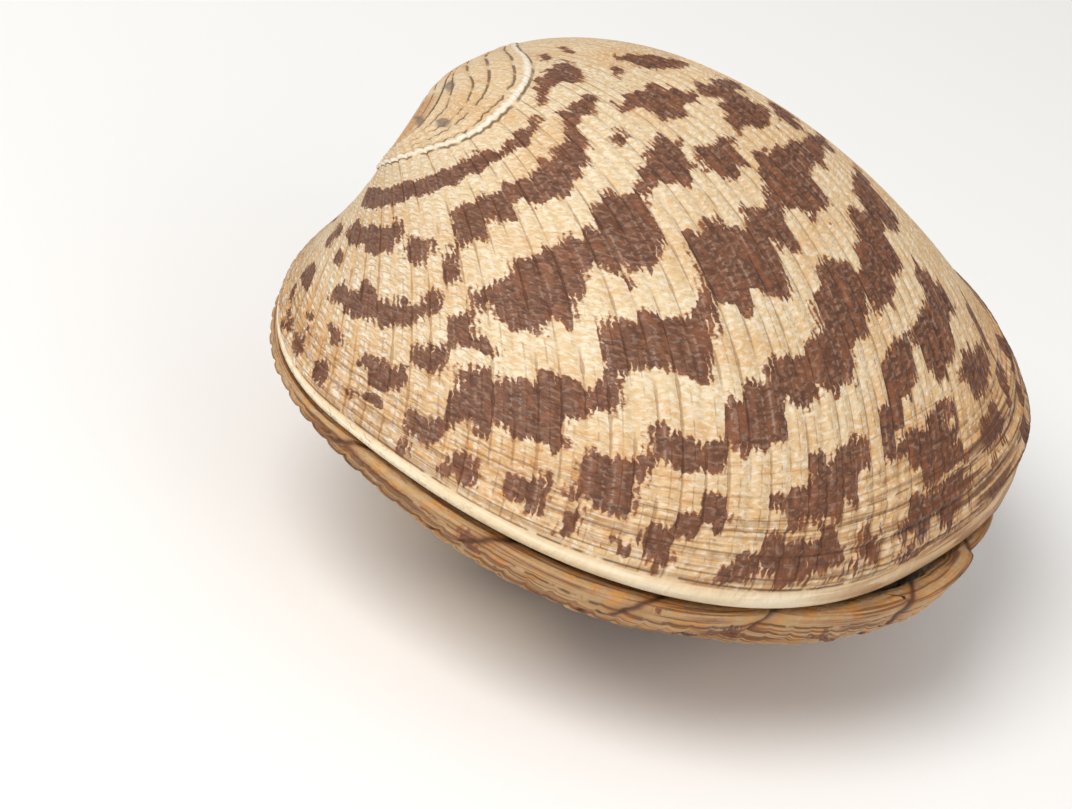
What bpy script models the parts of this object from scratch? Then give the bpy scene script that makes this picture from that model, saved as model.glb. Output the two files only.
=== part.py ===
"""Warty venus shell: two ribbed valves lying almost closed on the right valve, and the hinge ligament."""

import math

import bmesh
import bpy
import numpy as np
from mathutils import Vector

# Every length below is in units of this many metres.
UNIT = 0.0009

# The margin of a valve, measured from the beak: x along the hinge, positive behind, and y down to the belly.
FRONT_REACH = 34.3
REAR_REACH = 31.8
HEIGHT = 50.4
FRONT_DEPTH = 19.3
REAR_DEPTH = 16.1
BELLY_X = -5.0
HINGE_SET = 0.8
# How square each quarter of the margin is: 2 is an ellipse.
FRONT_TOP, FRONT_BELLY, REAR_BELLY, REAR_TOP = 2.1, 2.34, 2.5, 1.52

# A growth line at scale s is the margin shrunk to s and turned about the hinge by -ln(s) / coil. The coil is
# tighter at the back, and past EASY_TURN the turn slows down, so that the beak stays above the hinge.
COIL, COIL_LEAN, COIL_SPREAD = 1.015, 0.12, -0.2
EASY_TURN, LAST_TURN = 1.8, 0.9
BEAK_SCALE = 0.05
# The last growth stands steep: from STEEP_FROM out to the margin the wall drops by this much.
STEEP_FROM = 0.93
MARGIN_DROP = 2.2

RIBS = 52
RIB_HEIGHT = 0.24
# How the ribs drift round the shell between the margin and the beak: (constant, times s) for three waves.
RIB_DRIFT = ((0.0442, 0.1876), (-0.1445, 0.0039), (0.0277, -0.1067))
# Relief fades out towards the hinge, from this depth up to that one.
FULL_RELIEF, NO_RELIEF = 11.0, 2.0
RIBBED_SCALES = (0.88, 0.81, 0.73, 0.64, 0.55, 0.46, 0.38, 0.31)
LEDGE_SCALES = (0.972, 0.950, 0.925)
LEDGE_HEIGHT = 0.3
# Groove and ridge by turns on the umbo, from the outermost groove in.
UMBO_SCALES = (0.256, 0.237, 0.2175, 0.2, 0.183, 0.166, 0.15, 0.115)
UMBO_RIDGE = 0.16

# The lobes in which the right valve reaches out past the left one along the belly. Each has where it starts and
# ends round the margin, how far it reaches out at either end, and how much more its middle bulges.
LOBES = (
    (0.240, 0.300, 0.0, 0.5, 0.25),
    (0.300, 0.358, 0.5, 0.5, 0.35),
    (0.358, 0.412, 0.55, -0.35, 0.3),
    (0.412, 0.478, -0.45, 1.5, 0.4),
    (0.478, 0.532, 1.6, 0.95, 0.7),
    (0.532, 0.568, 0.6, -0.2, 0.3),
)
# The creases between lobes slant, and the lobes die away inward, from this scale to that one.
LOBE_SLANT = 0.5
FULL_LOBES, NO_LOBES = 0.96, 0.86

RIM_SHARE = 0.93
CAVITY_CENTRE = (-2.0, 28.0)
CAVITY_END = 0.38
CAVITY_SCALES = (1.0, 0.9, 0.78, 0.64, 0.5, 0.42)
CAVITY_POINTS = 28

# The left valve is lifted clear of the right one and opened a little about the hinge.
HINGE_GAP = 0.4
GAPE = 0.006

LIGAMENT_X = (4.0, 8.0, 12.5, 17.0)
LIGAMENT_Y = (0.2, 0.75, 2.1, 4.2)
LIGAMENT_RADIUS = (0.5, 0.9, 0.85, 0.35)

# How the closed shell lies on the floor: belly edge down, then rolled towards its front end.
BELLY_TILT = math.radians(6.8)
FRONT_ROLL = math.radians(-1.7)


def margin_points():
    """Close points round the margin, from the beak forward, down, back and up to the beak again."""
    turn = np.linspace(0, math.pi / 2, 400)
    sine, cosine = np.sin(turn), np.cos(turn)
    belly = HEIGHT - FRONT_DEPTH
    quarters = (
        (
            -FRONT_REACH * sine ** (2 / FRONT_TOP),
            FRONT_DEPTH * (1 - cosine ** (2 / FRONT_TOP)),
        ),
        (
            BELLY_X - (BELLY_X + FRONT_REACH) * cosine ** (2 / FRONT_BELLY),
            FRONT_DEPTH + belly * sine ** (2 / FRONT_BELLY),
        ),
        (
            BELLY_X + (REAR_REACH - BELLY_X) * sine ** (2 / REAR_BELLY),
            REAR_DEPTH + (HEIGHT - REAR_DEPTH) * cosine ** (2 / REAR_BELLY),
        ),
        (
            REAR_REACH * cosine ** (2 / REAR_TOP),
            REAR_DEPTH * (1 - sine ** (2 / REAR_TOP)),
        ),
    )
    points = np.concatenate([np.stack(quarter, 1)[:-1] for quarter in quarters])
    points[:, 1] = HINGE_SET + points[:, 1] * (HEIGHT - HINGE_SET) / HEIGHT
    return np.vstack([points, points[:1]])


MARGIN = margin_points()
TRAVEL = np.concatenate([[0], np.cumsum(np.hypot(*np.diff(MARGIN, axis=0).T))])
TRAVEL /= TRAVEL[-1]


def along_ribs(u, s):
    """The share of the way round a growth line where the rib line that meets the margin at u crosses it."""
    waves = sum(
        np.sin((k + 1) * math.pi * u) * (constant + slope * s)
        for k, (constant, slope) in enumerate(RIB_DRIFT)
    )
    return u + (1 - s) * waves


def lobe_reach(u, s):
    """How far the lobes of the right valve reach out past the margin's plain outline."""
    reach = np.zeros_like(u)
    for start, end, at_start, at_end, bulge in LOBES:
        part = (u + LOBE_SLANT * (1 - s) - start) / (end - start)
        inside = np.clip(part, 0, 1)
        lobe = at_start + (at_end - at_start) * inside + bulge * (4 * inside * (1 - inside)) ** 0.6
        reach = np.where((part >= 0) & (part < 1), lobe, reach)
    fade = np.clip((s - NO_LOBES) / (FULL_LOBES - NO_LOBES), 0, 1)
    return reach * fade**2 * (3 - 2 * fade)


def growth_line(u, s, lobed, share=1.0):
    """Points of the growth line at scale s. A share under 1 draws them in towards the middle of the valve."""
    way = np.clip(along_ribs(u, s), 0, 1)
    reach = 1 + lobed * lobe_reach(u, s) / HEIGHT
    x = np.interp(way, TRAVEL, MARGIN[:, 0]) * reach
    y = np.interp(way, TRAVEL, MARGIN[:, 1]) * reach
    steep = np.clip((s - STEEP_FROM) / (1 - STEEP_FROM), 0, 1)
    rise = MARGIN_DROP * np.clip(y / HEIGHT, 0, 1) ** 0.7 * (1 - steep**2) ** 0.6
    x = CAVITY_CENTRE[0] + share * (x - CAVITY_CENTRE[0])
    y = CAVITY_CENTRE[1] + share * (y - CAVITY_CENTRE[1])
    lean = COIL_LEAN * np.cos(math.pi * way) + COIL_SPREAD * np.cos(2 * math.pi * way)
    angle = -math.log(s) / (COIL * (1 + lean))
    slowed = EASY_TURN + LAST_TURN * np.tanh((angle - EASY_TURN) / LAST_TURN)
    angle = np.where(angle < EASY_TURN, angle, slowed)
    return np.stack([s * x, s * y * np.cos(angle), s * y * np.sin(angle) + rise], 1)


def outward(u, s, lobed):
    """Unit normals of the outside along one growth line."""
    step = 0.004
    round_it = growth_line(u + step, s, lobed) - growth_line(u - step, s, lobed)
    out_along = growth_line(u, min(s * 1.01, 1.0), lobed) - growth_line(u, s * 0.99, lobed)
    normal = np.cross(round_it, out_along)
    return normal / (np.linalg.norm(normal, axis=1)[:, None] + 1e-9)


def outer_row(u, s, lobed, raised, rib_share):
    """One growth line of the outside, with its ribs and whatever it is raised by."""
    crest = np.where(np.arange(len(u)) % 2 == 0, RIB_HEIGHT, 0.0)
    depth = np.interp(along_ribs(u, s), TRAVEL, MARGIN[:, 1])
    fade = np.clip((depth - NO_RELIEF) / (FULL_RELIEF - NO_RELIEF), 0, 1)
    relief = (raised + rib_share * crest) * fade
    return growth_line(u, s, lobed) + outward(u, s, lobed) * relief[:, None]


def valve_rows(lobed):
    """The closed loops of a left valve, from the beak out over the margin and back into the hollow."""
    fine = (np.arange(2 * RIBS + 8) + 0.5) / (2 * RIBS + 8)
    coarse = (np.arange(RIBS + 4) + 0.5) / (RIBS + 4)
    inside = (np.arange(CAVITY_POINTS) + 0.5) / CAVITY_POINTS
    rows = [growth_line(coarse, BEAK_SCALE, lobed)]
    for number, s in reversed(list(enumerate(UMBO_SCALES))):
        rows.append(outer_row(coarse, s, lobed, UMBO_RIDGE * (number % 2), 0.0))
    for s in reversed(RIBBED_SCALES):
        rows.append(outer_row(fine, s, lobed, 0.0, min(1.0, s / 0.6)))
    for s in reversed(LEDGE_SCALES):
        rows.append(outer_row(fine, s, lobed, LEDGE_HEIGHT, 0.8))
        rows.append(outer_row(fine, s + 0.003, lobed, 0.0, 0.8))
    rows.append(growth_line(fine, 0.99, lobed))
    rows.append(growth_line(fine, 1.0, lobed))
    for s in CAVITY_SCALES:
        share = RIM_SHARE * math.sqrt(1 - ((1 - s) / (1 - CAVITY_END)) ** 2)
        rows.append(growth_line(inside, s, lobed, share))
    return rows


def bridge(mesh, first, second):
    """Triangles between two closed loops that may have different numbers of points."""
    i = j = 0
    while i < len(first) or j < len(second):
        on_first = first[i % len(first)]
        on_second = second[j % len(second)]
        if j == len(second) or (i < len(first) and (i + 1) / len(first) <= (j + 1) / len(second)):
            i += 1
            mesh.faces.new((on_first, first[i % len(first)], on_second))
        else:
            j += 1
            mesh.faces.new((on_first, second[j % len(second)], on_second))


def principled(name, colour, roughness):
    material = bpy.data.materials.new(name)
    material.use_nodes = True
    shader = material.node_tree.nodes["Principled BSDF"]
    shader.inputs["Base Color"].default_value = (*colour, 1)
    shader.inputs["Roughness"].default_value = roughness
    return material


def add_piece(name, mesh, material, holder, parts):
    """Makes the object of a piece, its faces pointing out, held by the empty that lays the shell down."""
    bmesh.ops.recalc_face_normals(mesh, faces=mesh.faces)
    data = bpy.data.meshes.new(name)
    mesh.to_mesh(data)
    mesh.free()
    data.materials.append(material)
    piece = bpy.data.objects.new(name, data)
    piece.parent = holder
    parts.objects.link(piece)
    return piece


def valve_mesh(lobed, side):
    """A valve as a closed mesh. The side is 1 for the left, upper valve and -1 for the right, lower one."""
    mesh = bmesh.new()
    turned = np.array((UNIT, -UNIT, side * UNIT))
    loops = [[mesh.verts.new(point) for point in row * turned] for row in valve_rows(lobed)]
    for first, second in zip(loops, loops[1:]):
        bridge(mesh, first, second)
    for loop in (loops[0], loops[-1]):
        middle = mesh.verts.new(sum((vertex.co for vertex in loop), Vector()) / len(loop))
        for first, second in zip(loop, loop[1:] + loop[:1]):
            mesh.faces.new((first, second, middle))
    return mesh


def ligament_mesh():
    """The dark band that holds the valves together, behind the beaks, made as a thick curve."""
    curve = bpy.data.curves.new("ligament", "CURVE")
    curve.dimensions = "3D"
    curve.bevel_depth = UNIT
    curve.bevel_resolution = 2
    curve.resolution_u = 4
    curve.use_fill_caps = True
    spline = curve.splines.new("BEZIER")
    spline.bezier_points.add(len(LIGAMENT_X) - 1)
    knots = zip(spline.bezier_points, LIGAMENT_X, LIGAMENT_Y, LIGAMENT_RADIUS)
    for knot, x, y, radius in knots:
        knot.co = Vector((x, -y, HINGE_GAP / 2)) * UNIT
        knot.radius = radius
        knot.handle_left_type = knot.handle_right_type = "AUTO"
    bent = bpy.data.objects.new("bent", curve)
    bpy.context.scene.collection.objects.link(bent)
    bpy.context.view_layer.update()
    evaluated = bent.evaluated_get(bpy.context.evaluated_depsgraph_get())
    mesh = bmesh.new()
    mesh.from_mesh(evaluated.to_mesh())
    evaluated.to_mesh_clear()
    bmesh.ops.remove_doubles(mesh, verts=mesh.verts, dist=1e-6)
    bpy.data.objects.remove(bent)
    bpy.data.curves.remove(curve)
    return mesh


def settle(holder, pieces):
    """Puts the lowest point on the floor and the middle of the shell's box over the origin."""
    bpy.context.view_layer.update()
    corners = np.array([piece.matrix_world @ v.co for piece in pieces for v in piece.data.vertices])
    low, high = corners.min(axis=0), corners.max(axis=0)
    holder.location = (-(low[0] + high[0]) / 2, -(low[1] + high[1]) / 2, -low[2])


for item in list(bpy.data.objects):
    bpy.data.objects.remove(item)
shell = bpy.data.collections.new("warty_venus_shell")
bpy.context.scene.collection.children.link(shell)
lying = bpy.data.objects.new("lying", None)
lying.rotation_euler = (BELLY_TILT, FRONT_ROLL, 0)
shell.objects.link(lying)

left_look = principled("left_shell", (0.78, 0.62, 0.40), 0.4)
right_look = principled("right_shell", (0.62, 0.45, 0.26), 0.45)
ligament_look = principled("ligament_brown", (0.16, 0.08, 0.035), 0.5)
left = add_piece("valve_left", valve_mesh(0, 1), left_look, lying, shell)
left.location.z = HINGE_GAP * UNIT
left.rotation_euler.x = -GAPE
right = add_piece("valve_right", valve_mesh(1, -1), right_look, lying, shell)
ligament = add_piece("ligament", ligament_mesh(), ligament_look, lying, shell)
settle(lying, (left, right, ligament))
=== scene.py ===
"""Warty venus shell: both valves with their ribs and markings, the ligament, floor, light and camera."""

import math

import bpy
import numpy as np
from mathutils import Euler, Matrix, Vector, noise


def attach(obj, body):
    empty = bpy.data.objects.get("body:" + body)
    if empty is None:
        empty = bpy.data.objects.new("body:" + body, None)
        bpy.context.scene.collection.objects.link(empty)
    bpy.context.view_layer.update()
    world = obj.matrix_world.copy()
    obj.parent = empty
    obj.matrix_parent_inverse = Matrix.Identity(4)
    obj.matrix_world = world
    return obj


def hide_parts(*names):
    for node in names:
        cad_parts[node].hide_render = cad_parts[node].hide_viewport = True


# The shell's own form, as in the solids. Lengths are in units of this many metres.
UNIT = 0.0009
FRONT_REACH, REAR_REACH, HEIGHT = 34.3, 31.8, 50.4
FRONT_DEPTH, REAR_DEPTH, BELLY_X, HINGE_SET = 19.3, 16.1, -5.0, 0.8
FRONT_TOP, FRONT_BELLY, REAR_BELLY, REAR_TOP = 2.1, 2.34, 2.5, 1.52
COIL, COIL_LEAN, COIL_SPREAD = 1.015, 0.12, -0.2
EASY_TURN, LAST_TURN = 1.8, 0.9
BEAK_SCALE = 0.05
STEEP_FROM, MARGIN_DROP = 0.93, 2.2
# The lobes of the right valve: first and last rib line, reach at each, and bulge between them.
LOBES = (
    (0.240, 0.300, 0.0, 0.5, 0.25), (0.300, 0.358, 0.5, 0.5, 0.35), (0.358, 0.412, 0.55, -0.35, 0.3),
    (0.412, 0.478, -0.45, 1.5, 0.4), (0.478, 0.532, 1.6, 0.95, 0.7), (0.532, 0.568, 0.6, -0.2, 0.3),
)
LOBE_SLANT, FULL_LOBES, NO_LOBES = 0.5, 0.96, 0.86
RIB_DRIFT = ((0.0442, 0.1876), (-0.1445, 0.0039), (0.0277, -0.1067))
CAVITY_CENTRE, CAVITY_END = (-2.0, 28.0), 0.38
# The middle line of the ligament, from the beaks to behind them, and how thick it is there.
LIGAMENT_X, LIGAMENT_Y = (4.0, 8.0, 12.5, 17.0), (0.2, 0.75, 2.1, 4.2)
LIGAMENT_RADIUS = (0.5, 0.9, 0.85, 0.35)
# How the shell lies, and what its settling on the floor moves it by, in metres.
HINGE_GAP, GAPE = 0.4, 0.006
BELLY_TILT, FRONT_ROLL = math.radians(6.8), math.radians(-1.7)
SETTLED = np.array((0.0011023, 0.0221030, 0.0164871))
# The ribs it lies on end this far above the floor, in metres.
FLOOR_CLEARANCE = 0.00002

# The fine mesh: how many columns of points follow the ribs, and the scales of its rows from the beak out.
RIBS = 116
BANDS = (
    (RIBS, np.geomspace(BEAK_SCALE, 0.09, 7)),
    (2 * RIBS, np.concatenate([np.geomspace(0.096, 0.16, 10), np.geomspace(0.1645, 0.385, 80)])),
    (5 * RIBS, np.concatenate([np.arange(0.392, 0.9, 0.007), np.arange(0.9, 0.9995, 0.0027), [1.0]])),
)
# The rows over the rim and in the hollow. Their growth lines are told from those outside by being over 1.
RIM_SHARES, RIM_STEP = (0.992, 0.972), 0.3
INSIDE_COLUMNS, INSIDE_SHARE, INSIDE_SUM = RIBS // 2, 0.93, 2.02
INSIDE_SCALES = (1.0, 0.97, 0.92, 0.86, 0.78, 0.7, 0.62, 0.55, 0.48, 0.42, 0.39)

# Relief of the outside, in the same units. A pair is where a form starts and where it is full, or gone.
RIB_HEIGHT, RIBS_FROM, RIBS_TO = 0.15, (0.22, 0.42), (0.985, 0.995)
CORD_HEIGHT, CORD_PITCH, CORDS_FROM, CORDS_TO = 0.07, 0.0125, (0.84, 0.93), (0.984, 0.992)
# Where ribs and cords sink towards the rear.
REAR_LINES, REAR_MARGIN, HIND_LINES = (0.46, 0.56), (0.86, 0.93), (0.52, 0.64)
# Ledges of growth: scale and height. They are higher at the rear.
LEDGES = ((0.991, 0.2), (0.9845, 0.22), (0.9665, 0.24), (0.9449, 0.2), (0.9333, 0.16), (0.908, 0.08))
LEDGE_WIDTH, REAR_LEDGES, LEDGE_LINES = 0.008, 1.5, (0.5, 0.62)
# The rings of the umbo: height at this scale, usual and least spacing, and how they end past the silhouette.
RING_HEIGHT, RING_SCALE = 0.18, 0.25
RING_PITCH, RING_GAP, FAR_RINGS = 0.03, 0.007, 30
RING_ENDS, RING_FALL = np.array((0.02, 0.045, 0.08)), (1.4, 1.1, 0.8)
FULL_RELIEF, NO_RELIEF = 11.0, 2.0

# Growth lines where the lip and the inside of each valve begin, and what the grain is counted in.
LEFT_LIP, LEFT_INSIDE, RIGHT_LIP, RIGHT_INSIDE = 0.9925, 1.004, 1.03, 1.022
BEAD_PITCH, LEVELS = 0.0165, 80.0
# Where the kinds of surface lie, from none to full, by rib line or growth line.
FRONT_SIDE, REAR_SIDE, SIDES_FROM, MARGIN_ZONE = (0.33, 0.22), (0.36, 0.6), (0.25, 0.45), (0.8, 0.93)
STRIPED_ZONE, LIP_REAR, RIDGE_FROM = (0.89, 0.95), (0.4, 0.5), (0.15, 0.2)
# Dark breaks in the growth, partly painted shadow at the drop of each growth ledge: scale, half width and
# strength.
GROWTH_BREAKS = (
    (0.9918, 0.0020, 0.85), (0.9848, 0.0016, 0.65), (0.9745, 0.0013, 0.35), (0.9668, 0.0018, 0.6),
    (0.9452, 0.0015, 0.55), (0.9336, 0.0016, 0.55), (0.908, 0.0013, 0.3), (0.872, 0.0012, 0.25),
)
# Tints as they look on a screen, from 0 to 255.
TINTS = {
    "pale": (229, 213, 184),
    "white": (242, 234, 218),
    "sand": (217, 188, 144),
    "ochre": (208, 158, 98),
    "orange": (212, 142, 64),
    "tawny": (188, 136, 84),
    "shade": (176, 138, 92),
    "rust": (152, 93, 52),
    "warm": (142, 83, 48),
    "brown": (122, 76, 48),
    "dark": (84, 49, 32),
    "mauve": (132, 97, 78),
    # painted highlight for specks and streaks on the blotches
    "glint": (178, 156, 140),
    "grey": (124, 102, 90),
    "groove": (158, 116, 72),
    "line": (78, 48, 30),
    "lip": (236, 219, 190),
    "inside": (234, 220, 198),
    "horn": (74, 46, 30),
    "floor": (250, 249, 247),
}

# The photograph's frame in pixels, and the camera that sees the shell as it does.
PHOTO = Vector((1072, 809))
LENS, SENSOR = 106.66, 36.0
CAMERA_AT = Vector((-0.17055, -0.08526, 0.10208))
CAMERA_TURN = Euler((1.0879, -0.28579, -0.92247))
# Where the given outlines are looked up, and how squarely the wall has to be seen there.
PICK_LINES, PICK_SCALES, PICK_FACING = np.linspace(0.01, 0.99, 393), np.geomspace(0.07, 1, 260), 0.03
# The depth of a point that no mark reaches.
UNMARKED = -9.0

# How far a blotch's edge strays along each rib, and how long a stretch of rib strays together.
TOOTH, TOOTH_REACH, TOOTH_LEVELS = 0.3, 1.8, 24
# Blotches on the hidden sides: zigzag height and width, and the sizes of large and small ones.
ZIGZAG, BROAD_SIZE, SMALL_SIZE = (3.5, 11), (10, 5.5), (4, 3)
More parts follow.
